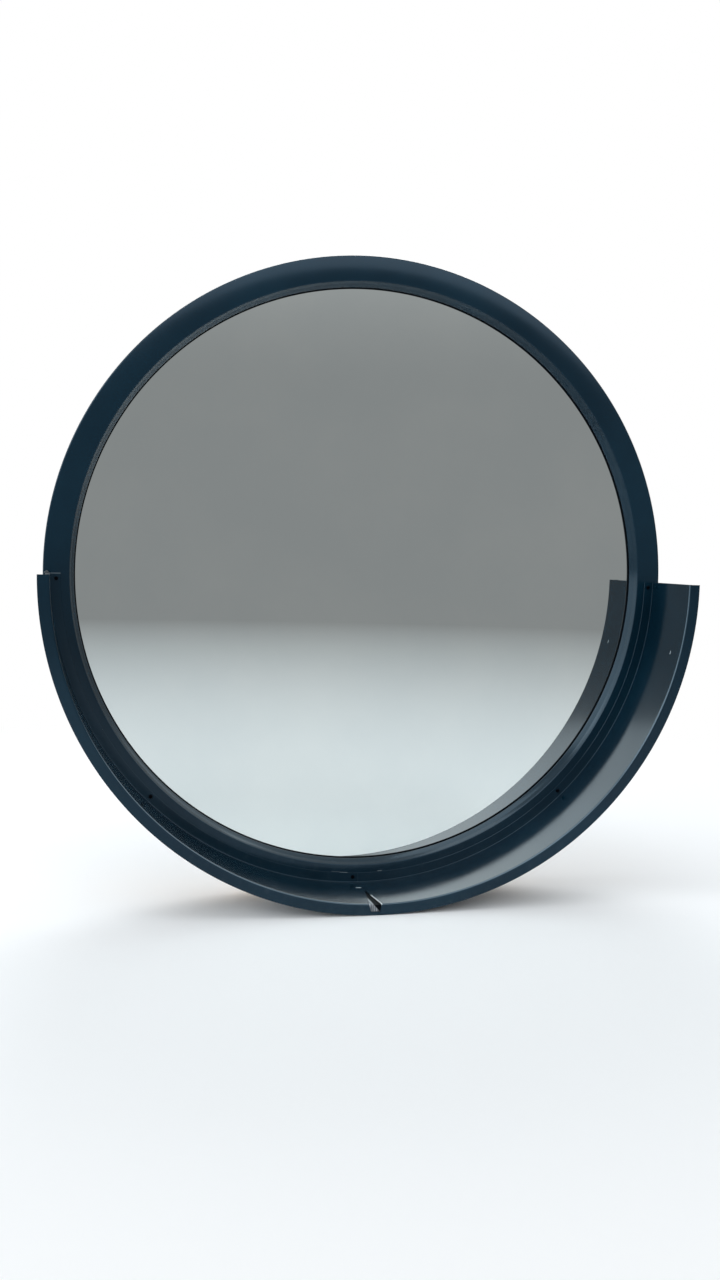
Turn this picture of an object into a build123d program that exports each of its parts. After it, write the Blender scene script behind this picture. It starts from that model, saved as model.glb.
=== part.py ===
from build123d import *
from math import cos, degrees, radians, sin, sqrt
import os

# A round fixed window, glazed in a timber ring with a metal cladding ring outside, and its half-round
# folded sill. Millimetres. The origin lies on the window's axis in the plane of the cladding's face.
# +Y points into the building and +Z up; seen from outside, +X is to the right.
# Sections are drawn with the radius along X and the depth along Y, and turned about the Y axis.
# A clock angle is counted in degrees from the right-hand end of the sill, down and round to its left.

# Timber ring
rim_radius = 800.0
frame_depth = 95.0
timber_width = 50.0

# Metal cladding ring
cladding_sheet = 2.0
air_gap = 6.0
face_width = 62.0
lip_step_lean = 4.5
lip_step_depth = 14.0
lip_lean = 13.0
lip_depth = 31.0
lip_foot = 12.0

# Clips between the cladding and the timber
clip_count = 10
clip_start = 24.0
clip_length = 26.0
clip_base = 24.0
clip_head = 16.0
clip_inset = 25.0

# Glass unit
pane_sheet = 6.0
pane_cavity = 16.0
pane_clearance = 6.0
spacer_width = 12.0

# Outer gasket and inner glazing tape
gasket_height = 3.0
gasket_nose = 1.5
tape_thickness = 4.0
tape_width = 9.0

# Glazing bead
bead_width = 22.0
bead_lean = 4.0
bead_joint = 0.6

# Blocks round the rim of the glass unit: two carry it, four keep it centred
setting_angles = (60.0, 120.0)
location_angles = (0.0, 180.0, 240.0, 300.0)
block_length = 100.0

# Half-round sill, one sheet on each side of an open seam
sill_sheet = 2.0
pan_inset = 18.0
pan_reach = 208.0
upstand_height = 24.0
nose_height = 28.0
fold_bevel = 2.0

# The seam, seen in plan: the sheets all but touch at the back and part towards the nose
seam_place = -10.5
seam_gap = 0.2
seam_closed_depth = 82.0
right_end_bend = -3.0
right_bend_depth = 124.0
right_end_nose = 3.0
left_end_nose = -28.0
left_end_lip = -24.0

# Bare strap that joins the sheets from below, and the sealing strip under it
strap_sheet = 1.5
strap_width = 60.0
strap_step_clearance = 0.3
strap_edge_back = -9.0
strap_edge_nose = -17.5
strap_edge_lip = -4.0
strap_lip_margin = 9.0
strap_back_margin = 20.0
strip_sheet = 3.0
strip_left = 46.0
strip_right = 42.0
strip_margin = 12.0
strip_lip_margin = 1.0

# Screws through the upstand into the cladding
screw_angles = (1.0, 46.4, 91.8, 134.6, 179.0)
screw_from_pan = 13.0
screw_shank_radius = 2.0
screw_hole_clearance = 0.1
screw_head_flats = 8.0
screw_head_height = 3.5
screw_tip_clearance = 0.5

# Joint tape under the pan at the upper ends of the sill
end_tape_thickness = 9.0
end_tape_length = 50.0
end_tape_margin = 8.0

# Sound-deadening pads under the pan
right_pad_angles = (25.0, 62.0)
left_pad_angles = (118.0, 155.0)
pad_sheet = 3.0
pad_width = 110.0
pad_length = 190.0
pad_margin = 45.0

os.makedirs("parts", exist_ok=True)

half_turn = 180.0
full_turn = 360.0
bottom = 90.0

rebate_radius = rim_radius - timber_width
timber_front = cladding_sheet + air_gap
clip_radius = rim_radius - clip_inset
lip_corner_radius = rim_radius - face_width
lip_step_radius = lip_corner_radius - lip_step_lean
lip_end_radius = lip_corner_radius - lip_lean
glass_front = lip_depth + gasket_height
glass_depth = 2 * pane_sheet + pane_cavity
glass_back = glass_front + glass_depth
pane_radius = rebate_radius - pane_clearance
bead_front = glass_back + tape_thickness
pan_radius = rim_radius - pan_inset
pan_under_radius = pan_radius + sill_sheet
nose_radius = pan_radius + nose_height
nose_back = sill_sheet - pan_reach
screw_circle = pan_radius - screw_from_pan


def write(node, shape):
    export_step(shape, f"parts/{node}.step")
    print(node, round(shape.volume), "mm3")


def turned(points, start=0.0, sweep=full_turn):
    """The section through the points, turned about the window's axis from one clock angle on."""
    section = make_face(Polyline(*points, close=True))
    return Rot(Y=start) * revolve(section, Axis.Y, sweep)


def arc_angle(length, radius):
    """The angle, in degrees, of an arc of that length."""
    return degrees(length / radius)


def centred(points, middle, length, radius):
    """A short turned piece with its middle at a clock angle and its length measured on a radius."""
    sweep = arc_angle(length, radius)
    return turned(points, middle - sweep / 2, sweep)


def on_circle(radius, angle, depth):
    """The place on a circle about the window's axis at a clock angle."""
    return Pos(radius * cos(radians(angle)), depth, -radius * sin(radians(angle)))


def plan_prism(outline):
    """A tall block over an outline in plan, from the window's axis down past the nose."""
    plan = make_face(Polyline(*[(x, y, 0) for x, y in outline], close=True))
    return extrude(plan, 2 * nose_radius, dir=(0, 0, -1))


def timber_ring():
    return turned([
        (rebate_radius, timber_front),
        (rim_radius, timber_front),
        (rim_radius, frame_depth),
        (rebate_radius, frame_depth),
    ])


def cladding_ring():
    """A sheet section: rim leg, flat face, a lip in two slopes and a foot for the gasket."""
    outer_slope = lip_step_lean / lip_step_depth
    inner_slope = (lip_lean - lip_step_lean) / (lip_depth - lip_step_depth)
    outer_shift = cladding_sheet * sqrt(1 + outer_slope**2)
    inner_shift = cladding_sheet * sqrt(1 + inner_slope**2)
    foot_front = lip_depth - cladding_sheet
    bend_depth = lip_step_depth - (inner_shift - outer_shift) / (inner_slope - outer_slope)
    section = [
        (rim_radius, 0),
        (lip_corner_radius, 0),
        (lip_step_radius, lip_step_depth),
        (lip_end_radius, lip_depth),
        (lip_end_radius + lip_foot, lip_depth),
        (lip_end_radius + lip_foot, foot_front),
        (lip_end_radius + inner_slope * cladding_sheet + inner_shift, foot_front),
        (lip_corner_radius - outer_slope * bend_depth + outer_shift, bend_depth),
        (lip_corner_radius - outer_slope * cladding_sheet + outer_shift, cladding_sheet),
        (rim_radius - cladding_sheet, cladding_sheet),
        (rim_radius - cladding_sheet, timber_front),
        (rim_radius, timber_front),
    ]
    ring = turned(section)
    hole = Cylinder(screw_shank_radius + screw_hole_clearance, cladding_sheet)
    for angle in screw_angles:
        ring -= on_circle(screw_circle, angle, cladding_sheet / 2) * Rot(X=90) * hole
    return ring


def cladding_clips():
    section = [
        (clip_radius - clip_base / 2, timber_front),
        (clip_radius - clip_head / 2, cladding_sheet),
        (clip_radius + clip_head / 2, cladding_sheet),
        (clip_radius + clip_base / 2, timber_front),
    ]
    step = full_turn / clip_count
    angles = [clip_start + step * number for number in range(clip_count)]
    return Compound([centred(section, angle, clip_length, clip_radius) for angle in angles])


def outer_gasket():
    """A wedge whose nose shows as a thin line between the lip and the glass."""
    return turned([
        (lip_end_radius - gasket_nose, glass_front),
        (lip_end_radius, lip_depth),
        (lip_end_radius + lip_foot, lip_depth),
        (lip_end_radius + lip_foot, glass_front),
    ])


def pane(front):
    disc = Cylinder(pane_radius, pane_sheet)
    return Pos(0, front + pane_sheet / 2, 0) * Rot(X=90) * disc


def spacer_ring():
    """The sealed spacer that closes the rim of the glass unit."""
    return turned([
        (pane_radius - spacer_width, glass_front + pane_sheet),
        (pane_radius, glass_front + pane_sheet),
        (pane_radius, glass_back - pane_sheet),
        (pane_radius - spacer_width, glass_back - pane_sheet),
    ])


def inner_tape():
    inner = rebate_radius - bead_width
    return turned([
        (inner, glass_back),
        (inner + tape_width, glass_back),
        (inner + tape_width, bead_front),
        (inner, bead_front),
    ])


def glazing_bead():
    """One bent bead whose ends nearly meet at the top."""
    gap = arc_angle(bead_joint, rebate_radius)
    return turned([
        (rebate_radius - bead_width, bead_front),
        (rebate_radius, bead_front),
        (rebate_radius, frame_depth),
        (rebate_radius - bead_width + bead_lean, frame_depth),
    ], gap / 2 - bottom, full_turn - gap)


def glazing_blocks(angles):
    """Blocks between the rim of the glass unit and the timber."""
    section = [
        (pane_radius, glass_front),
        (rebate_radius, glass_front),
        (rebate_radius, glass_back),
        (pane_radius, glass_back),
    ]
    return Compound([centred(section, angle, block_length, rebate_radius) for angle in angles])


def sill_sheet_half_round():
    """The whole half-round sheet before the seam: upstand, pan and nose, with a bevelled nose fold."""
    sheet = turned([
        (pan_radius - upstand_height, 0),
        (pan_radius - upstand_height, -sill_sheet),
        (pan_radius, -sill_sheet),
        (pan_radius, fold_bevel - pan_reach),
        (pan_radius + fold_bevel, -pan_reach),
        (nose_radius, -pan_reach),
        (nose_radius, nose_back),
        (pan_under_radius, nose_back),
        (pan_under_radius, 0),
    ], 0, half_turn)
    hole = Cylinder(screw_shank_radius + screw_hole_clearance, 3 * sill_sheet)
    for angle in screw_angles:
        sheet -= on_circle(screw_circle, angle, 0) * Rot(X=90) * hole
    return sheet


def sill_right(sheet):
    """The right-hand sheet keeps to the seam at the back and is cut away in two straight snips."""
    return sheet & plan_prism([
        (seam_place, sill_sheet),
        (seam_place, -seam_closed_depth),
        (right_end_bend, -right_bend_depth),
        (right_end_nose, nose_back),
        (right_end_nose, -2 * pan_reach),
        (2 * nose_radius, -2 * pan_reach),
        (2 * nose_radius, sill_sheet),
    ])


def sill_left(sheet):
    """The left-hand sheet is clipped off at its front corner, and its nose is cut back."""
    edge = seam_place - seam_gap
    return sheet & plan_prism([
        (edge, sill_sheet),
        (edge, -seam_closed_depth),
        (left_end_nose, nose_back),
        (left_end_lip, -2 * pan_reach),
        (-2 * nose_radius, -2 * pan_reach),
        (-2 * nose_radius, sill_sheet),
    ])


def seam_strap():
    """Bare strap under the left-hand sheet, cut from a wider blank. Its free edge stands in the seam."""
    outer = pan_under_radius + strap_sheet
    foot = nose_radius - strap_lip_margin
    blank = centred([
        (pan_under_radius, -strap_back_margin),
        (pan_under_radius, nose_back),
        (foot, nose_back),
        (foot, nose_back + strap_sheet),
        (outer, nose_back + strap_sheet),
        (outer, -strap_back_margin),
    ], bottom, 3 * strap_width, pan_under_radius)
    return blank & plan_prism([
        (strap_edge_back, 0),
        (strap_edge_nose, nose_back + strap_sheet),
        (strap_edge_lip, nose_back + strap_sheet),
        (strap_edge_lip, -2 * pan_reach),
        (strap_edge_lip - strap_width, -2 * pan_reach),
        (strap_edge_lip - strap_width, 0),
    ])


def seam_strip_side(lift, start, length):
    """One side of the sealing strip, lifted clear of the pan by a gap that the strap fills."""
    inner = pan_under_radius + lift
    outer = inner + strip_sheet
    front = nose_back + lift
    foot = nose_radius - strip_lip_margin
    return turned([
        (inner, -strip_margin),
        (inner, front),
        (foot, front),
        (foot, front + strip_sheet),
        (outer, front + strip_sheet),
        (outer, -strip_margin),
    ], start, arc_angle(length, pan_under_radius))


def seam_strip():
    """Soft black strip across the seam. It steps over the edge of the strap."""
    step = bottom - arc_angle(strap_edge_lip + strap_step_clearance, pan_under_radius)
    right = seam_strip_side(0, step - arc_angle(strip_right, pan_under_radius), strip_right)
    return right + seam_strip_side(strap_sheet, step, strip_left)


def sill_screw(angle):
    """A hexagon-head screw through the upstand and the cladding; its tip ends short of the timber."""
    head = extrude(RegularPolygon(screw_head_flats / 2, 6, major_radius=False), screw_head_height)
    shank_length = sill_sheet + timber_front - screw_tip_clearance
    foot = (Align.CENTER, Align.CENTER, Align.MIN)
    shank = Pos(0, 0, screw_head_height) * Cylinder(screw_shank_radius, shank_length, align=foot)
    return on_circle(screw_circle, angle, -sill_sheet - screw_head_height) * Rot(X=-90) * (head + shank)


def end_tape(start):
    outer = pan_under_radius + end_tape_thickness
    return turned([
        (pan_under_radius, -end_tape_margin),
        (outer, -end_tape_margin),
        (outer, nose_back + end_tape_margin),
        (pan_under_radius, nose_back + end_tape_margin),
    ], start, arc_angle(end_tape_length, pan_under_radius))


def deadening_pads(angles):
    outer = pan_under_radius + pad_sheet
    section = [
        (pan_under_radius, -pad_margin),
        (outer, -pad_margin),
        (outer, -pad_margin - pad_width),
        (pan_under_radius, -pad_margin - pad_width),
    ]
    return Compound([centred(section, angle, pad_length, pan_under_radius) for angle in angles])


write("timber_ring", timber_ring())
write("cladding_ring", cladding_ring())
write("cladding_clips", cladding_clips())
write("outer_gasket", outer_gasket())
write("outer_pane", pane(glass_front))
write("inner_pane", pane(glass_back - pane_sheet))
write("spacer_ring", spacer_ring())
write("inner_glazing_tape", inner_tape())
write("glazing_bead", glazing_bead())
write("setting_blocks", glazing_blocks(setting_angles))
write("location_blocks", glazing_blocks(location_angles))

half_round = sill_sheet_half_round()
write("sill_right", sill_right(half_round))
write("sill_left", sill_left(half_round))
write("sill_screws", Compound([sill_screw(angle) for angle in screw_angles]))
write("seam_strap", seam_strap())
write("seam_strip", seam_strip())
write("end_tape_right", end_tape(0))
write("end_tape_left", end_tape(half_turn - arc_angle(end_tape_length, pan_under_radius)))
write("deadening_pads_right", deadening_pads(right_pad_angles))
write("deadening_pads_left", deadening_pads(left_pad_angles))
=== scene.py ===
from math import pi, radians
import bpy
import numpy as np
from mathutils import Matrix, Vector


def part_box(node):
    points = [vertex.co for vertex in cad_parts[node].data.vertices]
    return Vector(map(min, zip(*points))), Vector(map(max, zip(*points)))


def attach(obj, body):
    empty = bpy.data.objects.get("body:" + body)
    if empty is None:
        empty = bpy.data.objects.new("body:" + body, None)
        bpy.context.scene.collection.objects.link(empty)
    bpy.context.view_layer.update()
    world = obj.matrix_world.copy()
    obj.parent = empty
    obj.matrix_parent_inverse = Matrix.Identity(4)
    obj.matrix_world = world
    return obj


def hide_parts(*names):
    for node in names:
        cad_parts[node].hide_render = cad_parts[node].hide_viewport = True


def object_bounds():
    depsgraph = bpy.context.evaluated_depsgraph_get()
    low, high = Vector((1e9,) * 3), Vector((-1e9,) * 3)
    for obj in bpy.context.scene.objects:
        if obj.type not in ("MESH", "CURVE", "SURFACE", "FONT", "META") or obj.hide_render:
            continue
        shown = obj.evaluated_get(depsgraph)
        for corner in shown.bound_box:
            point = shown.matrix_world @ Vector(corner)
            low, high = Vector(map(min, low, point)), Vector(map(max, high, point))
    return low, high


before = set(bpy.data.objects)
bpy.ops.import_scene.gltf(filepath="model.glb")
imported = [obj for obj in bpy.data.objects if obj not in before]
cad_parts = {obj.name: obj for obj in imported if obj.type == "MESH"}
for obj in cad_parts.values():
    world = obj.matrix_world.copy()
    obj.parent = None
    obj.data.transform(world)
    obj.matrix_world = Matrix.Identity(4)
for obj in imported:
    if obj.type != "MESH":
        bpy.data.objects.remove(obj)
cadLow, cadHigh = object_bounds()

# Metres. The axis of the window is Y, pointing into the building; Z is up. A depth is a place along Y.
# A turn is counted from the right-hand end (+X) down and round to the left, as in the solids.


def outerRadius(node):
    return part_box(node)[1][0]


def frontOf(node):
    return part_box(node)[0][1]


def backOf(node):
    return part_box(node)[1][1]


rimRadius = outerRadius("timber_ring")
timberFront, frameBack = frontOf("timber_ring"), backOf("timber_ring")
glassFront, glassBack = frontOf("outer_pane"), backOf("inner_pane")
paneRadius = outerRadius("outer_pane")
noseRadius, noseFront = outerRadius("sill_right"), frontOf("sill_right")
rebateRadius, beadFront = outerRadius("glazing_bead"), frontOf("glazing_bead")
innerTapeRadius = outerRadius("inner_glazing_tape")
print("frame read, rim radius", round(rimRadius, 4))


def leftOf(direction):
    return np.stack([-direction[..., 1], direction[..., 0]], axis=-1)


def roundedLine(corners, radii, steps, closed=False):
    # A line through the corners with a circular arc at each fold: the arc's centre lies on the inner
    # side, one radius from both runs, and its points turn from one run's direction to the next.
    # Given back are the points and the line's direction at each.
    corners = np.asarray(corners, float)
    runs = np.roll(corners, -1, axis=0) - corners
    runs = runs / np.linalg.norm(runs, axis=1, keepdims=True)
    places, ways = [], []
    for i in range(0 if closed else 1, len(corners) if closed else len(corners) - 1):
        before, after = runs[i - 1], runs[i]
        turn = np.arctan2(before[0] * after[1] - before[1] * after[0], before @ after)
        radius = radii[i] if np.ndim(radii) else radii
        side = np.sign(turn)
        centre = corners[i] - before * radius * np.tan(abs(turn) / 2) + side * radius * leftOf(before)
        count = steps if abs(turn) > 1e-6 else 1  # one point where the line runs straight on
        angle = np.linspace(0, turn, count)[:, None]
        way = before * np.cos(angle) + leftOf(before) * np.sin(angle)
        places.append(centre - side * radius * leftOf(way))
        ways.append(way)
    if not closed:
        places = [corners[:1], *places, corners[-1:]]
        ways = [runs[:1], *ways, runs[-2:-1]]
    return np.concatenate(places), np.concatenate(ways)


def subdivided(places, ways, longest):
    # Long straight runs get evenly spaced points between their ends; the direction stays the run's.
    newPlaces, newWays = [places[:1]], [ways[:1]]
    for i in range(1, len(places)):
        count = max(1, int(np.ceil(np.linalg.norm(places[i] - places[i - 1]) / longest)))
        share = np.arange(1, count + 1)[:, None] / count
        newPlaces.append(places[i - 1] + (places[i] - places[i - 1]) * share)
        newWays.append(np.repeat(ways[i:i + 1], count, axis=0))
    return np.concatenate(newPlaces), np.concatenate(newWays)


def foldedSheet(corners, sheet, bend, longest=None, steps=7, ease=0.3):
    # Both faces of the sheet lie half its thickness to each side of its middle line. At the two free
    # edges the thickness falls away over a short run, so that their corners aren't sharp.
    places, ways = roundedLine(corners, bend + sheet / 2, steps)
    if longest:
        places, ways = subdivided(places, ways, longest)
    run = ease * sheet
    first, last = places[:1] + ways[:1] * run, places[-1:] - ways[-1:] * run
    places = np.concatenate([places[:1], first, places[1:-1], last, places[-1:]])
    ways = np.concatenate([ways[:1], ways, ways[-1:]])
    half = np.full((len(places), 1), sheet / 2)
    half[[0, -1]] = sheet / 2 - run
    offset = leftOf(ways) * half
    return np.concatenate([places + offset, (places - offset)[::-1]])


def solidProfile(corners, radii, steps=5):
    return roundedLine(corners, radii, steps, closed=True)[0]


def carriedRound(profile, starts, ends, steps):
    # Each profile point (radius, depth) runs from its own start turn to its own end turn:
    # x = radius cos turn, y = depth, z = -radius sin turn.
    share = np.linspace(0, 1, steps)[:, None]
    turn = starts + (ends - starts) * share
    radius = np.broadcast_to(profile[:, 0], turn.shape)
    depth = np.broadcast_to(profile[:, 1], turn.shape)
    return np.stack([radius * np.cos(turn), depth, -radius * np.sin(turn)], axis=-1)


def gridFaces(rows, columns, ring=False):
    # Four neighbours of the grid make a face. The profile always closes; the rows close on a full ring.
    row = np.arange(rows if ring else rows - 1)[:, None]
    column = np.arange(columns)[None]
    here, there = row * columns, (row + 1) % rows * columns
    nextColumn = (column + 1) % columns
    corners = [here + column, there + column, there + nextColumn, here + nextColumn]
    return np.stack(corners, axis=-1).reshape(-1, 4)


def endFaces(rows, columns):
    # Strips across the first and last profile, each joining a point with its partner on the other side.
    point = np.arange(columns // 2 - 1)
    first = np.stack([point, point + 1, columns - 2 - point, columns - 1 - point], axis=-1)
    return np.concatenate([first, (rows - 1) * columns + first[:, ::-1]])


def closedFaces(rows, columns):
    # A stretch with both ends closed: the faces along it come first, then those of the ends.
    return np.concatenate([gridFaces(rows, columns), endFaces(rows, columns)])


def outward(points, faces):
    # A mesh's volume goes with the sum of its faces' corner products; where that is negative, the faces
    # look inwards and are turned round.
    a, b, c, d = (points[faces[:, i]] for i in range(4))
    volume = np.einsum("ij,ij->i", a, np.cross(b, c)).sum() + np.einsum("ij,ij->i", a, np.cross(c, d)).sum()
    return faces if volume > 0 else faces[:, ::-1]


sharpFrom = 32.0  # degrees; flatter edges are shaded smooth


def addPiece(name, points, faces, materials, node, materialIndex=None):
    points = points.reshape(-1, 3)
    mesh = bpy.data.meshes.new(name)
    mesh.from_pydata(points, [], outward(points, faces))
    for material in materials:
        mesh.materials.append(material)
    if materialIndex is not None:
        mesh.polygons.foreach_set("material_index", materialIndex)
    mesh.polygons.foreach_set("use_smooth", np.ones(len(mesh.polygons), bool))
    mesh.set_sharp_from_angle(angle=radians(sharpFrom))
    mesh.update()
    piece = bpy.data.objects.new(name, mesh)
    bpy.context.scene.collection.objects.link(piece)
    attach(piece, "root")
    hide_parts(node)


def addRing(name, profile, material, node, steps=480, gap=0.0, gapAt=0.0):
    # The profile carried once round. A gap is an angle left open round the turn gapAt, with closed ends.
    start = gapAt + gap / 2
    rows = steps + 1 if gap else steps
    end = start + (2 * pi - gap if gap else 2 * pi * (steps - 1) / steps)
    zero = np.zeros(len(profile))
    points = carriedRound(profile, zero + start, zero + end, rows)
    faces = closedFaces(rows, len(profile)) if gap else gridFaces(rows, len(profile), ring=True)
    addPiece(name, points, faces, [material], node)


class Surface:
    # A material whose patterns all start from the piece's own Object coordinates.
    def __init__(self, name):
        self.material = bpy.data.materials.new(name)
        self.material.use_nodes = True
        self.nodes = self.material.node_tree.nodes
        self.links = self.material.node_tree.links
        self.shader = self.nodes["Principled BSDF"]
        self.place = self.nodes.new("ShaderNodeTexCoord").outputs["Object"]

    def feed(self, socket, value):
        if isinstance(value, bpy.types.NodeSocket):
            self.links.new(value, socket)
        else:
            socket.default_value = value

    def add(self, kind, settings=None, **inputs):
        # An input goes by its name, with _ for a space, or by i and its number where names repeat.
        node = self.nodes.new("ShaderNode" + kind)
        for key, value in (settings or {}).items():
            setattr(node, key, value)
        for key, value in inputs.items():
            numbered = key[0] == "i" and key[1:].isdigit()
            self.feed(node.inputs[int(key[1:]) if numbered else key.replace("_", " ")], value)
        return node

    def set(self, **values):
        for key, value in values.items():
            self.feed(self.shader.inputs[key.replace("_", " ")], value)

    def math(self, operation, first, second=0.0):
        return self.add("Math", dict(operation=operation), i0=first, i1=second).outputs[0]

    def times(self, first, *others):
        for other in others:
            first = self.math("MULTIPLY", first, other)
        return first

    def distance(self, first, second):
        # The square root of first squared plus second squared.
        return self.math("SQRT", self.math("ADD", self.times(first, first), self.times(second, second)))

    def split(self, vector):
        return self.add("SeparateXYZ", Vector=vector).outputs

    def whereabouts(self):
        # x, depth, height and the distance from the axis of the window.
        x, depth, height = self.split(self.place)
        return x, depth, height, self.distance(x, height)

    def spread(self, value, low, high, outLow=0.0, outHigh=1.0):
        # A soft step from outLow to outHigh, while the value goes from low to high.
        limits = dict(From_Min=low, From_Max=high, To_Min=outLow, To_Max=outHigh)
        node = self.add("MapRange", dict(interpolation_type="SMOOTHSTEP"), Value=value, **limits)
        return node.outputs["Result"]

    def inside(self, *steps):
        # Each step is a value with two limits: 1 where every value is past its second limit, and 0 where
        # one of them is short of its first.
        return self.times(*[self.spread(*step) for step in steps])

    def near(self, value, middle, half, soft=0.3):
        # 1 round the middle, falling to 0 where the half width ends.
        away = self.math("ABSOLUTE", self.math("SUBTRACT", value, middle))
        return self.spread(away, (1 - soft) * half, (1 + soft) * half, 1.0, 0.0)

    def noise(self, scale, detail, roughness=0.5, place=None):
        settings = dict(Scale=scale, Detail=detail, Roughness=roughness)
        return self.add("TexNoise", Vector=place or self.place, **settings).outputs["Fac"]

    def patches(self, scale, detail, between, gives=(0.0, 1.0), roughness=0.5):
        # Noise with more contrast: a soft step across the values that it lies between.
        return self.spread(self.noise(scale, detail, roughness), *between, *gives)

    def streaks(self, stretch, detail, roughness, place=None):
        # Noise on squeezed coordinates: the larger a direction's number, the finer it is that way.
        squeezed = self.add("Mapping", Vector=place or self.place, Scale=stretch).outputs[0]
        return self.noise(1.0, detail, roughness, squeezed)

    def mix(self, share, first, second):
        return self.add("Mix", dict(data_type="RGBA"), i0=share, i6=first, i7=second).outputs[2]

    def bump(self, height, distance, normal=None):
        node = self.add("Bump", Height=height, Distance=distance)
        if normal:
            self.links.new(normal, node.inputs["Normal"])
        return node.outputs["Normal"]


def shade(red, green, blue):
    # The colour as it is read off a screen, turned to the linear value that the shader takes.
    value = np.array([red, green, blue]) / 255
    linear = np.where(value <= 0.04045, value / 12.92, ((value + 0.055) / 1.055) ** 2.4)
    return (*linear.tolist(), 1.0)


darkCoat = dict(
    deep=shade(4, 26, 38), light=shade(9, 34, 47), dust=shade(96, 104, 106), mark=shade(196, 208, 214),
    # highlight is the lighter colour painted along the nose's fold as a painted highlight.
    highlight=shade(84, 102, 110), reflection=shade(206, 232, 255), gloss=0.38, foldGloss=0.90,
    tones=dict(scale=2.6, detail=4.0, between=(0.35, 0.65)),
    rough=dict(scale=9.0, detail=4.0, between=(0.3, 0.7), gives=(0.13, 0.155)),
    film=dict(scale=38.0, detail=6.0, roughness=0.65, between=(0.45, 0.78)),
    filmHeight=(-0.45, -0.80), filmShare=0.05,
    wave=dict(scale=4.5, detail=2.0), waveHeight=0.0003,
    grain=dict(scale=1400.0, detail=2.0), grainHeight=0.000004,
)
# Small marks on the sill: a dash by the joint, a light line in three stretches along the upstand's top
# edge and a speck on the right. Each is given by the middle and half width of its x, depth and radius,
# and by how much it shows.
marks = (
    dict(x=(-0.0213, 0.0070), depth=(-0.0580, 0.0019), radius=(rimRadius - 0.0180, 0.0015), share=1.0),
    dict(x=(-0.0690, 0.0105), depth=(-0.0010, 0.0012), radius=(rimRadius - 0.0438, 0.0007), share=0.12),
    dict(x=(-0.0480, 0.0105), depth=(-0.0010, 0.0012), radius=(rimRadius - 0.0426, 0.0007), share=0.22),
    dict(x=(0.0476, 0.0060), depth=(-0.0010, 0.0012), radius=(rimRadius - 0.0435, 0.0008), share=0.28),
    dict(x=(0.7622, 0.0010), depth=(-0.1560, 0.0009), radius=(rimRadius - 0.0180, 0.0015), share=1.0),
)
marksBelow = (-0.02, -0.05)  # they show only under the middle of the window
# The coating is glossier along the fold of the nose, and painted lighter there as a painted highlight, except
# at its left end.
foldHighlight = dict(
    depth=(noseFront + 0.0036, noseFront + 0.0020), radius=(rimRadius - 0.0146, rimRadius - 0.0162),
    height=(0.002, -0.002), x=(-0.76, -0.60), share=0.30)
# The right sheet's coating is painted light in a narrow band along its edge, which runs on
# x = -slant * depth - offset where the slit is open.
lightEdgeBand = dict(
    slant=0.0902, offset=0.01719, outer=(0.0020, 0.0012), inner=(-0.0004, 0.0), depth=(-0.120, -0.132),
    front=(noseFront - 0.0005, noseFront + 0.0010), radius=(rimRadius - 0.0150, rimRadius - 0.0158),
    height=(-0.70, -0.72))
# A light line runs across the top end of the left upstand.
endLine = dict(
    x=(-0.70, -0.75), bottom=(-0.0036, -0.0022), top=(0.0008, 0.0002), front=(-0.0034, -0.0026),
    back=(-0.0012, -0.0018), outer=(rimRadius - 0.0160, rimRadius - 0.0175),
    inner=(rimRadius - 0.0440, rimRadius - 0.0425), share=0.11)


def makeDarkCoat():
    s = Surface("dark_coating")
    c = darkCoat
    x, depth, height, radius = s.whereabouts()
    colour = s.mix(s.patches(**c["tones"]), c["deep"], c["light"])
    film = s.times(s.spread(height, *c["filmHeight"]), s.patches(**c["film"]), c["filmShare"])
    colour = s.mix(film, colour, c["dust"])
    shown = None
    for mark in marks:
        share = s.times(s.near(x, *mark["x"]), s.near(depth, *mark["depth"]), s.near(radius, *mark["radius"]))
        share = s.times(share, s.spread(height, *marksBelow), mark["share"])
        shown = s.math("MAXIMUM", shown, share) if shown else share
    colour = s.mix(shown, colour, c["mark"])
    fold, edge, line = foldHighlight, lightEdgeBand, endLine
    onFold = s.inside(
        (depth, *fold["depth"]), (radius, *fold["radius"]), (height, *fold["height"]), (x, *fold["x"]))
    # Painted highlight: the fold of the nose is mixed towards a lighter colour.
    colour = s.mix(s.times(onFold, fold["share"]), colour, c["highlight"])
    fromEdge = s.math("ADD", x, s.math("ADD", s.times(depth, edge["slant"]), edge["offset"]))
    alongEdge = s.inside(
        (fromEdge, *edge["outer"]), (fromEdge, *edge["inner"]), (depth, *edge["depth"]),
        (depth, *edge["front"]), (radius, *edge["radius"]), (height, *edge["height"]))
    colour = s.mix(alongEdge, colour, c["mark"])
    onLine = s.inside(
        (x, *line["x"]), (height, *line["bottom"]), (height, *line["top"]), (depth, *line["front"]),
        (depth, *line["back"]), (radius, *line["outer"]), (radius, *line["inner"]))
    colour = s.mix(s.times(onLine, line["share"]), colour, c["mark"])
    wave = s.bump(s.noise(**c["wave"]), c["waveHeight"])
    grain = s.bump(s.noise(**c["grain"]), c["grainHeight"], normal=wave)
    gloss = s.spread(onFold, 0.0, 1.0, c["gloss"], c["foldGloss"])
    s.set(Base_Color=colour, Roughness=s.patches(**c["rough"]), Normal=grain, Specular_IOR_Level=gloss,
          Specular_Tint=c["reflection"])
    return s.material


# The scratches run away from the window and down the nose, so they're fine across x only.
strapMetal = dict(
    dull=shade(72, 76, 82), bright=shade(158, 163, 168),
    scratches=dict(stretch=(420.0, 14.0, 14.0), detail=3.0, roughness=0.6),
    between=(0.38, 0.62), rough=(0.34, 0.50), scratchDepth=0.00004)


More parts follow.
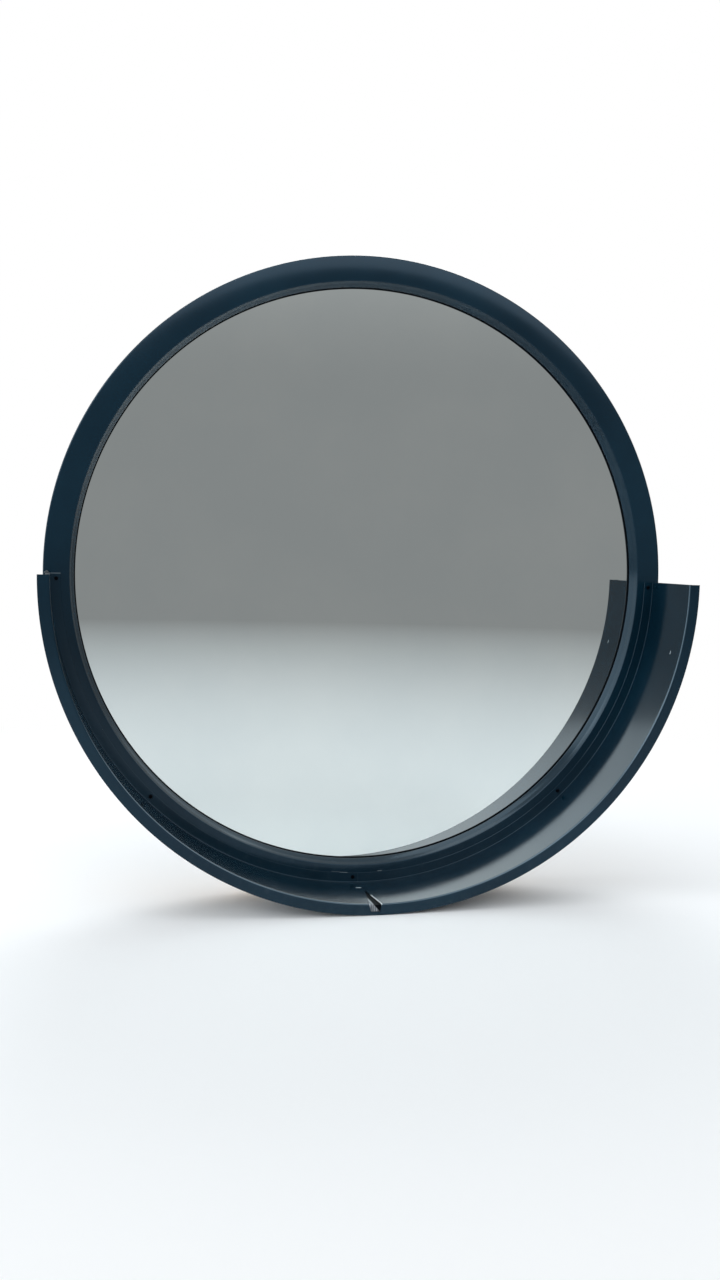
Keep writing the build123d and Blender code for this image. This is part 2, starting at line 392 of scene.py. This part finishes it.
def makeBareMetal():
    s = Surface("bare_aluminium")
    m = strapMetal
    fine = s.streaks(**m["scratches"])
    s.set(Base_Color=s.mix(s.spread(fine, *m["between"]), m["dull"], m["bright"]), Metallic=1.0,
          Roughness=s.spread(fine, 0.2, 0.8, *m["rough"]), Normal=s.bump(fine, m["scratchDepth"]))
    return s.material


# Cut bare in the open part of the joint, coated over everywhere else.
sheetEdge = dict(
    bare=(shade(226, 231, 235), shade(242, 245, 247)), rough=0.5,
    grain=dict(scale=500.0, detail=3.0), grainHeight=0.00005,
    depth=(-0.118, -0.130), radius=(rimRadius - 0.0138, rimRadius - 0.0152), height=(-0.70, -0.72))


def makeCutEdge():
    s = Surface("cut_edge")
    e = sheetEdge
    _, depth, height, radius = s.whereabouts()
    fine = s.noise(**e["grain"])
    bare = s.inside((depth, *e["depth"]), (radius, *e["radius"]), (height, *e["height"]))
    s.set(Base_Color=s.mix(bare, darkCoat["deep"], s.mix(fine, *e["bare"])), Roughness=e["rough"],
          Normal=s.bump(fine, e["grainHeight"]))
    return s.material


# Rubber, plastic, tape and the screws' coating differ in their tones, roughness, grain and gloss.
mattFinishes = (
    dict(name="black_rubber", tones=(shade(0, 3, 8), shade(4, 9, 14)), rough=0.6, grain=600, gloss=0.05),
    dict(name="dark_screw_coating", tones=(shade(0, 1, 5), shade(2, 3, 9)), rough=0.5, grain=900, gloss=0.04),
    dict(name="grey_tape", tones=(shade(48, 49, 50), shade(78, 79, 80)), rough=0.8, grain=900),
    dict(name="joint_tape", tones=(shade(36, 40, 44), shade(76, 82, 86)), rough=0.95, grain=240),
    dict(name="bitumen", tones=(shade(17, 17, 17), shade(44, 43, 41)), rough=0.88, grain=330),
    dict(name="black_spacer", tones=(shade(16, 16, 17), shade(32, 32, 33)), rough=0.5, grain=500),
    dict(name="clip_plastic", tones=(shade(30, 31, 32), shade(50, 51, 52)), rough=0.55, grain=450),
    dict(name="block_plastic", tones=(shade(38, 78, 52), shade(62, 106, 76)), rough=0.5, grain=380),
)
mattGrain = dict(detail=3.0, between=(0.3, 0.75), height=0.0001)


def makeMattFinish(name, tones, rough, grain, gloss=0.5):
    s = Surface(name)
    fine = s.noise(grain, mattGrain["detail"])
    s.set(Base_Color=s.mix(s.spread(fine, *mattGrain["between"]), *tones), Roughness=rough,
          Specular_IOR_Level=gloss, Normal=s.bump(fine, mattGrain["height"]))
    return s.material


# By day the outer pane shows as a mirror, so it has a metal's reflection. The inner one lets light through.
glass = dict(
    film=dict(scale=3.0, detail=5.0, roughness=0.6, between=(0.3, 0.8)),
    mirror=(shade(222, 230, 230), shade(228, 235, 234)), mirrorRough=(0.008, 0.02),
    clear=((0.93, 0.97, 0.96, 1), (0.96, 0.985, 0.98, 1)), clearRough=(0.0, 0.015), bending=1.5)


def makeMirrorGlass():
    s = Surface("clear_glass")
    film = s.patches(**glass["film"])
    s.set(Base_Color=s.mix(film, *glass["mirror"]), Metallic=1.0,
          Roughness=s.spread(film, 0.0, 1.0, *glass["mirrorRough"]))
    return s.material


def makeClearGlass():
    s = Surface("clear_inner_glass")
    film = s.patches(**glass["film"])
    s.set(Base_Color=s.mix(film, *glass["clear"]), Roughness=s.spread(film, 0.0, 1.0, *glass["clearRough"]),
          Transmission_Weight=1.0, IOR=glass["bending"])
    return s.material


timber = dict(
    pale=shade(206, 172, 128), dark=shade(172, 130, 86), deepest=shade(120, 82, 50),
    segments=8, boardShift=3.7, bendRadius=0.74, joint=(0.0016, 0.0004), jointShare=0.55,
    ringStep=0.0075, heart=0.665, heartDepth=0.048, heartSway=0.030, swayStep=2.3,
    wander=dict(stretch=(2.0, 11.0, 11.0), detail=1.5, roughness=0.4), wanderBy=24.0,
    lateWood=(0.1, 1.0), lateShare=0.75,
    fibre=dict(stretch=(30.0, 900.0, 900.0), detail=4.0, roughness=0.6), fibreBetween=(0.45, 0.8),
    fibreShare=0.35, fibreHeight=0.00012, rough=(0.38, 0.52))


def makeTimber(name, bent):
    # The ring is glued up from straight pieces, so the grain runs along each piece's own chord; the
    # bead is bent, so there it follows the circle, starting at the lowest point. The growth rings are circles
    # round the heart of the tree, cut lengthwise: distance = sqrt((across - heart)^2 + (y - heartDepth)^2).
    s = Surface(name)
    t = timber
    x, y, z = s.split(s.place)
    angle = s.math("ARCTAN2", z, x)
    if bent:
        across = s.distance(x, z)
        fromBottom = s.math("FLOORED_MODULO", s.math("ADD", angle, pi / 2), 2 * pi)
        along, heartDepth, jointLine = s.times(fromBottom, t["bendRadius"]), t["heartDepth"], None
    else:
        step = 2 * pi / t["segments"]
        piece = s.math("ROUND", s.math("DIVIDE", angle, step))
        middle = s.times(piece, step)
        turned = s.add("VectorRotate", dict(rotation_type="Y_AXIS"), Vector=s.place, Angle=middle)
        across, _, chord = s.split(turned.outputs[0])
        board = s.math("FLOORED_MODULO", piece, t["segments"])
        along = s.math("ADD", chord, s.times(board, t["boardShift"]))
        sway = s.times(s.math("SINE", s.times(board, t["swayStep"])), t["heartSway"])
        heartDepth = s.math("ADD", sway, t["heartDepth"])
        fromMiddle = s.math("ABSOLUTE", s.math("SUBTRACT", angle, middle))
        jointLine = s.spread(fromMiddle, *[step / 2 - width for width in t["joint"]])
    fromHeart = s.distance(s.math("SUBTRACT", across, t["heart"]), s.math("SUBTRACT", y, heartDepth))
    local = s.add("CombineXYZ", X=along, Y=y, Z=across).outputs[0]
    wander = s.times(s.streaks(place=local, **t["wander"]), t["wanderBy"])
    growth = s.math("ADD", s.times(fromHeart, 2 * pi / t["ringStep"]), wander)
    late = s.times(s.spread(s.math("SINE", growth), *t["lateWood"]), t["lateShare"])
    fibre = s.streaks(place=local, **t["fibre"])
    colour = s.mix(late, t["pale"], t["dark"])
    colour = s.mix(s.times(s.spread(fibre, *t["fibreBetween"]), t["fibreShare"]), colour, t["deepest"])
    if jointLine:
        colour = s.mix(s.times(jointLine, t["jointShare"]), colour, t["deepest"])
    s.set(Base_Color=colour, Roughness=s.spread(fibre, 0.2, 0.8, *t["rough"]),
          Normal=s.bump(fibre, t["fibreHeight"]))
    return s.material


coat, bareMetal, cutEdge = makeDarkCoat(), makeBareMetal(), makeCutEdge()
matt = {finish["name"]: makeMattFinish(**finish) for finish in mattFinishes}
mirrorGlass, clearGlass = makeMirrorGlass(), makeClearGlass()
ringTimber, beadTimber = makeTimber("timber", False), makeTimber("bead_timber", True)
print("materials made")

cladding = dict(
    sheet=0.002, faceWidth=0.062, stepLean=0.0045, stepDepth=0.014, lipLean=0.013, lipDepth=0.031,
    foot=0.012, bends=(0, 0.0012, 0.0008, 0.0030, 0.0011, 0), steps=540)


def makeCladding():
    # The lip leans in twice. Each slope's middle line lies half a sheet behind its visible face.
    c = cladding
    half = c["sheet"] / 2
    corner = rimRadius - c["faceWidth"]
    end = corner - c["lipLean"]
    slopes = [
        c["stepLean"] / c["stepDepth"],
        (c["lipLean"] - c["stepLean"]) / (c["lipDepth"] - c["stepDepth"]),
    ]
    shifts = [half * np.hypot(1, slope) for slope in slopes]
    bendDepth = c["stepDepth"] - (shifts[1] - shifts[0]) / (slopes[1] - slopes[0])
    middle = [
        (rimRadius - half, timberFront), (rimRadius - half, half),
        (corner - slopes[0] * half + shifts[0], half),
        (corner - slopes[0] * bendDepth + shifts[0], bendDepth),
        (end + slopes[1] * half + shifts[1], c["lipDepth"] - half),
        (end + c["foot"], c["lipDepth"] - half),
    ]
    profile = foldedSheet(middle, c["sheet"], np.array(c["bends"]))
    addRing("cladding", profile, coat, "cladding_ring", steps=c["steps"])


makeCladding()

sill = dict(sheet=0.002, panInset=0.018, upstand=0.024, bend=0.0014, steps=300, longest=0.004)
# The left sheet's nose is cut away beside the joint, down to a hem that still meets the right sheet.
seam = dict(
    rightDepths=(0.002, -0.082, -0.124, noseFront + 0.002), rightEdge=(-0.0105, -0.0105, -0.0060, 0.0014),
    leftDepths=(0.002, -0.082, noseFront + 0.002), leftEdge=(-0.0107, -0.0107, -0.0295),
    rightNoseSlant=-0.19, leftNoseSlant=0.29, hem=0.0085, hemStep=0.0002, hemGap=0.0004)
panRadius = rimRadius - sill["panInset"]
underPan = panRadius + sill["sheet"]
behindNose = noseFront + sill["sheet"]


def edgeX(profile, side):
    # Where a sheet's edge lies: interpolated along the pan, and on the nose moving on with the radius.
    x = np.interp(-profile[:, 1], -np.asarray(seam[side + "Depths"]), seam[side + "Edge"])
    return x + seam[side + "NoseSlant"] * np.clip(profile[:, 0] - panRadius - sill["sheet"], 0, None)


def makeSill():
    # The section of upstand, pan and nose, carried round from an end of the window to the joint.
    s = sill
    half = s["sheet"] / 2
    hemTop = noseRadius - seam["hem"]
    middle = [
        (panRadius - s["upstand"], -half), (panRadius + half, -half), (panRadius + half, noseFront + half),
        (hemTop - seam["hemStep"], noseFront + half), (hemTop + seam["hemStep"], noseFront + half),
        (noseRadius, noseFront + half),
    ]
    profile = foldedSheet(middle, s["sheet"], s["bend"], s["longest"])
    rightX = edgeX(profile, "right")
    leftX = np.where(profile[:, 0] > hemTop, rightX - seam["hemGap"], edgeX(profile, "left"))
    # The cosine of the turn at which a sheet stops is its edge's x over the radius.
    rightStop, leftStart = np.arccos(rightX / profile[:, 0]), np.arccos(leftX / profile[:, 0])
    rows, columns = s["steps"], len(profile)
    zero = np.zeros(columns)
    index = np.repeat([0, 1], [len(gridFaces(rows, columns)), len(endFaces(rows, columns))])
    for side, start, stop in (("right", zero, rightStop), ("left", leftStart, zero + pi)):
        points, faces = carriedRound(profile, start, stop, rows), closedFaces(rows, columns)
        name, node = "sill_sheet_" + side, "sill_" + side
        addPiece(name, points, faces, [coat, cutEdge], node, index)


makeSill()
print("cladding and sill made")

strap = dict(
    sheet=0.0015, bend=0.0008, back=0.020, lipMargin=0.009, edge=(-0.0225, -0.0168), lipEdge=-0.0024,
    width=0.060, steps=24, longest=0.006)


def makeStrap():
    # A folded strip under the pan and behind the nose. Under the pan its bare edge runs from the first x
    # of edge at the back to the second at the nose, and down the nose it moves on to lipEdge.
    p = strap
    half = p["sheet"] / 2
    foot = noseRadius - p["lipMargin"]
    radius, depth = underPan + half, behindNose + half
    middle = [(radius, -p["back"]), (radius, depth), (foot, depth)]
    profile = foldedSheet(middle, p["sheet"], p["bend"], p["longest"])
    noseTop = underPan + p["sheet"]
    onNose = np.clip((profile[:, 0] - noseTop) / (foot - noseTop), 0, 1)
    x = np.interp(-profile[:, 1], (p["back"], -behindNose), p["edge"])
    x = x + (p["lipEdge"] - x) * onNose
    start = np.arccos(x / profile[:, 0])
    stop = np.arccos((p["lipEdge"] - p["width"]) / profile[:, 0])
    points = carriedRound(profile, start, stop, p["steps"])
    faces = closedFaces(p["steps"], len(profile))
    addPiece("seam_joint_strap", points, faces, [bareMetal], "seam_strap")


makeStrap()

endTape = dict(
    thickness=0.009, length=0.050, margin=0.008, rounding=0.0008, steps=12,
    wedge=((rimRadius - 0.0155, 0.0), (rimRadius, 0.0), (rimRadius - 0.0105, 0.0058)),
    wedgeDepth=(-0.060, -0.012), wedgeRounding=0.0006)


def makeLeftTape():
    # The tape under the pan, squeezed out over the end of the left sheet in a wedge.
    t = endTape
    low, high, outer = behindNose + t["margin"], -t["margin"], underPan + t["thickness"]
    profile = solidProfile([(underPan, low), (outer, low), (outer, high), (underPan, high)], t["rounding"])
    zero = np.zeros(len(profile))
    block = carriedRound(profile, zero + pi - t["length"] / underPan, zero + pi, t["steps"]).reshape(-1, 3)
    blockFaces = outward(block, closedFaces(t["steps"], len(profile)))
    corners = solidProfile(t["wedge"], t["wedgeRounding"], steps=6)
    outline = np.stack([-corners[:, 0], 0 * corners[:, 0], corners[:, 1]], axis=-1)
    wedge = np.concatenate([outline + (0, depth, 0) for depth in t["wedgeDepth"]])
    wedgeFaces = outward(wedge, closedFaces(len(t["wedgeDepth"]), len(corners)))
    points, faces = np.concatenate([block, wedge]), np.concatenate([blockFaces, wedgeFaces + len(block)])
    addPiece("left_end_tape", points, faces, [matt["joint_tape"]], "end_tape_left")


makeLeftTape()

screw = dict(
    turns=(1.0, 46.4, 91.8, 134.6, 179.0), fromPan=0.0135, flats=0.009, height=0.0035,
    chamfer=((0.0, 0.25), (0.0, 0.80), (0.0002, 0.93), (0.0011, 1.08), (0.0022, 1.3)),
    shank=0.002, tip=0.0005, sides=72)


def makeScrews():
    # The head's radius at a given direction is the hexagon's, flats / 2 over the cosine of the angle
    # from the nearest flat, and never more than the chamfer cone's, which narrows towards the top.
    # The chamfer's steps are the depth below the top and the cone's radius over half the flats.
    s = screw
    around = np.linspace(0, 2 * pi, s["sides"], endpoint=False)
    hexagon = s["flats"] / 2 / np.cos((around + pi / 6) % (pi / 3) - pi / 6)
    foot, tip = -sill["sheet"], timberFront - s["tip"]
    top = foot - s["height"]
    levels = [(top + down, np.minimum(hexagon, cone * s["flats"] / 2)) for down, cone in s["chamfer"]]
    levels += [(foot, hexagon), (foot, s["shank"]), (tip, s["shank"])]
    depths = np.array([depth for depth, _ in levels])
    radii = np.stack([np.broadcast_to(radius, around.shape) for _, radius in levels])
    depth = np.broadcast_to(depths[:, None], radii.shape)
    single = np.stack([radii * np.cos(around), depth, -radii * np.sin(around)], axis=-1)
    turns = np.radians(s["turns"])[:, None, None, None]
    circle = panRadius - s["fromPan"]
    points = single + np.concatenate([circle * np.cos(turns), 0 * turns, -circle * np.sin(turns)], axis=-1)
    each = closedFaces(*radii.shape)
    faces = np.concatenate([each + i * radii.size for i in range(len(s["turns"]))])
    addPiece("sill_screw_heads", points, faces, [matt["dark_screw_coating"]], "sill_screws")


makeScrews()

gasket = dict(nose=0.0015, foot=0.012, rounding=(0.0008, 0.0008, 0.0004, 0.0004))
ringRounding = (0.001, 0.001, 0.0025, 0.0008)
bead = dict(lean=0.004, gap=0.0006, rounding=(0.0008, 0.0008, 0.0008, 0.003))
innerTape = dict(width=0.009, rounding=0.0006)
spacer = dict(width=0.012, pane=0.006, rounding=0.0003)


def rectangle(low, high, front, back):
    return [(low, front), (high, front), (high, back), (low, back)]


def makeRoomSide():
    # Each ring is a section with rounded corners, carried once round. The bead's ends nearly meet at the top.
    lipEnd, lipBack = rimRadius - cladding["faceWidth"] - cladding["lipLean"], cladding["lipDepth"]
    foot = lipEnd + gasket["foot"]
    rubber = [(lipEnd - gasket["nose"], glassFront), (lipEnd, lipBack), (foot, lipBack), (foot, glassFront)]
    addRing("glass_gasket", solidProfile(rubber, gasket["rounding"]), matt["black_rubber"], "outer_gasket")
    wood = rectangle(rebateRadius, rimRadius, timberFront, frameBack)
    addRing("timber_frame", solidProfile(wood, ringRounding), ringTimber, "timber_ring")
    inner = innerTapeRadius - innerTape["width"]
    strip = rectangle(inner, rebateRadius, beadFront, frameBack)
    strip[3] = (inner + bead["lean"], frameBack)  # its inner face leans back a little
    addRing("room_bead", solidProfile(strip, bead["rounding"]), beadTimber, "glazing_bead",
            gap=bead["gap"] / rebateRadius, gapAt=-pi / 2)
    tape = rectangle(inner, innerTapeRadius, glassBack, beadFront)
    addRing("inner_tape", solidProfile(tape, innerTape["rounding"]), matt["grey_tape"], "inner_glazing_tape")
    pane = spacer["pane"]
    bar = rectangle(paneRadius - spacer["width"], paneRadius, glassFront + pane, glassBack - pane)
    addRing("unit_spacer", solidProfile(bar, spacer["rounding"]), matt["black_spacer"], "spacer_ring")


makeRoomSide()

# These nodes keep the shape of their solids and only get a finish.
carriedOver = dict(
    outer_pane=mirrorGlass, inner_pane=clearGlass, cladding_clips=matt["clip_plastic"],
    setting_blocks=matt["block_plastic"], location_blocks=matt["block_plastic"],
    seam_strip=matt["black_rubber"], end_tape_right=matt["joint_tape"],
    # The black pads are real, and the one under the joint also stands in for the shade seen down through the
    # slit.
    deadening_pads_right=matt["bitumen"], deadening_pads_left=matt["bitumen"])
for node, material in carriedOver.items():
    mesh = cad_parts[node].data
    mesh.materials.clear()
    mesh.materials.append(material)
print("room side made")

# The floor fades with distance into the white that the camera sees behind it, and more slowly in glass.
stage = dict(
    floor=cadLow.z - 0.0005, reach=60.0, pale=(0.87, 0.88, 0.89, 1), rough=0.9,
    fade=(1.0, 3.2), glassFade=(0.6, 12.0))
# The world's strength is light on matt surfaces. Metal and glass see it at horizon up to the height
# horizonAt and at high from highAt on; these heights are the Z of the direction looked in.
surround = dict(light=0.40, high=1.0, horizon=0.30, highAt=0.50, horizonAt=0.12)


def makeStage():
    mesh = bpy.data.meshes.new("floor")
    reach = stage["reach"]
    corners = rectangle(-reach, reach, -reach, reach)
    mesh.from_pydata([(x, y, stage["floor"]) for x, y in corners], [], [(0, 1, 2, 3)])
    floor = bpy.data.objects.new("floor", mesh)
    bpy.context.scene.collection.objects.link(floor)
    s = Surface("pale_floor")
    s.set(Base_Color=stage["pale"], Roughness=stage["rough"])
    x, y, _ = s.split(s.place)
    distance = s.distance(x, y)
    path = s.add("LightPath").outputs
    mirrored = s.math("MAXIMUM", path["Is Glossy Ray"], path["Is Transmission Ray"])
    near = s.times(s.spread(distance, *stage["fade"]), path["Is Camera Ray"])
    fadeFrom, fadeTo = stage["glassFade"]
    far = s.add("MapRange", Value=distance, From_Min=fadeFrom, From_Max=fadeTo).outputs["Result"]
    fade = s.math("MAXIMUM", near, s.times(far, mirrored))
    glow = s.add("Emission", Strength=s.spread(path["Is Camera Ray"], 0.0, 1.0, surround["horizon"], 1.0))
    blend = s.add("MixShader", i0=fade, i1=s.shader.outputs[0], i2=glow.outputs[0])
    s.links.new(blend.outputs[0], s.nodes["Material Output"].inputs["Surface"])
    mesh.materials.append(s.material)


makeStage()

# The wide lamp hangs far behind and above the camera, so the lip and the pan show it by way of the
# glass while the glass itself doesn't. Bearing and rise are degrees, seen from the window.
lamps = (
    dict(name="wide", bearing=-11.0, rise=30.5, away=28.0, size=(48.0, 14.5), radiance=1.6),
    dict(name="above", bearing=-45.0, rise=66.0, away=12.0, size=(11.0, 5.0), radiance=2.0),
    dict(name="left", bearing=-80.0, rise=20.0, away=10.0, size=(11.0, 8.6), radiance=2.0),
    dict(name="right", bearing=60.0, rise=30.0, away=5.0, size=(2.5, 2.5), radiance=1.2),
    dict(name="back", bearing=172.0, rise=40.0, away=5.0, size=(3.0, 3.0), radiance=5.0),
)
lampColour = (0.92, 0.97, 1.0)
for lamp in lamps:
    data = bpy.data.lights.new(lamp["name"], "AREA")
    data.shape = "RECTANGLE"
    data.size, data.size_y = lamp["size"]
    data.color = lampColour
    data.energy = pi * data.size * data.size_y * lamp["radiance"]
    light = bpy.data.objects.new(lamp["name"], data)
    bpy.context.scene.collection.objects.link(light)
    bearing, rise = radians(lamp["bearing"]), radians(lamp["rise"])
    towards = Vector((np.sin(bearing) * np.cos(rise), -np.cos(bearing) * np.cos(rise), np.sin(rise)))
    light.location = towards * lamp["away"]
    light.rotation_euler = (-light.location).to_track_quat("-Z", "Y").to_euler()


def makeWorld():
    # The world lights the part evenly. The camera sees it white, and glass and metal see it white
    # overhead and dimmer towards the horizon.
    world = bpy.data.worlds.new("studio")
    bpy.context.scene.world = world
    world.use_nodes = True
    nodes, links = world.node_tree.nodes, world.node_tree.links
    path = nodes.new("ShaderNodeLightPath").outputs
    up = nodes.new("ShaderNodeSeparateXYZ")
    links.new(nodes.new("ShaderNodeTexCoord").outputs["Generated"], up.inputs[0])
    grade = nodes.new("ShaderNodeMapRange")
    grade.interpolation_type = "SMOOTHSTEP"
    limits = {"From Min": "horizonAt", "From Max": "highAt", "To Min": "horizon", "To Max": "high"}
    for key, value in limits.items():
        grade.inputs[key].default_value = surround[value]
    links.new(up.outputs["Z"], grade.inputs["Value"])
    seen = nodes.new("ShaderNodeMath")
    seen.operation = "MAXIMUM"
    links.new(path["Is Glossy Ray"], seen.inputs[0])
    links.new(path["Is Transmission Ray"], seen.inputs[1])
    mirrored = nodes.new("ShaderNodeMix")
    links.new(seen.outputs[0], mirrored.inputs[0])
    mirrored.inputs[2].default_value = surround["light"]
    links.new(grade.outputs["Result"], mirrored.inputs[3])
    strength = nodes.new("ShaderNodeMix")
    links.new(path["Is Camera Ray"], strength.inputs[0])
    links.new(mirrored.outputs[0], strength.inputs[2])
    strength.inputs[3].default_value = 1.0
    background = nodes["Background"].inputs
    background["Color"].default_value = (1, 1, 1, 1)
    links.new(strength.outputs[0], background["Strength"])


makeWorld()

# Angles are in degrees, lens and sensor in millimetres.
camera = dict(
    place=(-0.7565, -3.1257, 0.0706), yaw=13.296, pitch=-4.074, roll=1.260,
    lens=35.68, sensor=36.0, clip=(0.05, 200.0))


def makeCamera():
    data = bpy.data.cameras.new("camera")
    data.lens, data.sensor_width = camera["lens"], camera["sensor"]
    data.clip_start, data.clip_end = camera["clip"]
    rig = bpy.data.objects.new("camera", data)
    bpy.context.scene.collection.objects.link(rig)
    yaw = Matrix.Rotation(radians(-camera["yaw"]), 4, "Z")
    pitch = Matrix.Rotation(radians(90 + camera["pitch"]), 4, "X")
    roll = Matrix.Rotation(radians(camera["roll"]), 4, "Z")
    rig.matrix_world = Matrix.Translation(camera["place"]) @ yaw @ pitch @ roll
    bpy.context.scene.camera = rig


makeCamera()
bpy.context.scene.view_settings.view_transform = "Standard"
print("stage, lamps and camera made")
